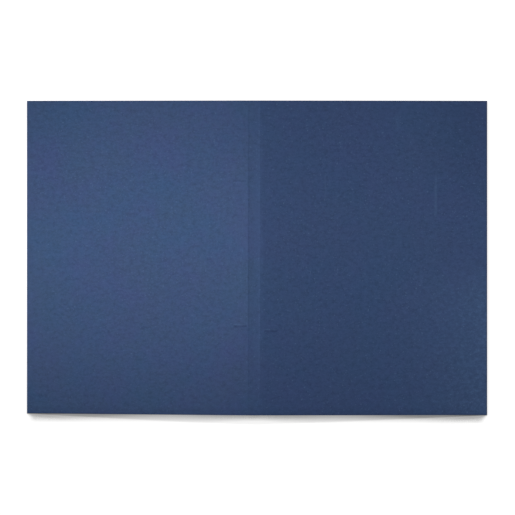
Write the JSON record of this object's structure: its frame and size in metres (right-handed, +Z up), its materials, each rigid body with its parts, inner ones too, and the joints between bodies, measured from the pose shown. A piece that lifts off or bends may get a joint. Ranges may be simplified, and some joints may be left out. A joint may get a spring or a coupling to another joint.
{
  "type": "spiral folder",
  "caption": "Blue card folder with a creased spine, shown open with its outside up, and a coil spring fastener inside the back cover that holds punched sheets.",
  "frame": {"origin": "on the table under the middle of the open folder", "axes": "+X across the open folder from the back cover to the front cover, +Y from foot to head, +Z up"},
  "size_m": [0.4554, 0.311, 0.0127],
  "materials": {
    "blue_card": "uncoated, matt",
    "patch_card": "uncoated, matt",
    "strip_steel": "satin",
    "peg_steel": "satin",
    "spring_steel": "bright"
  },
  "bodies": {
    "back": {"back_cover": "blue_card", "fastener_strip": "strip_steel", "fastener_patch": "patch_card", "upper_peg": "peg_steel", "lower_peg": "peg_steel"},
    "spine": {"spine": "blue_card"},
    "front": {"front_cover": "blue_card"},
    "spring": {"spiral_spring": "spring_steel"}
  },
  "joints": [
    {"name": "back_crease", "type": "hinge", "parent": "back", "child": "spine", "pos_m": [-0.0085, 0, 0.01242], "axis": [0, 1, 0], "range_deg": [-93.18, 86.82]},
    {"name": "front_crease", "type": "hinge", "parent": "spine", "child": "front", "pos_m": [0.0035, 0, 0.01242], "axis": [0, 1, 0], "range_deg": [-93.11, 86.89]},
    {"name": "spring_release", "type": "slide", "parent": "back", "child": "spring", "axis": [-0.9985, 0, -0.0555], "range_m": [0, 0.01415]}
  ]
}
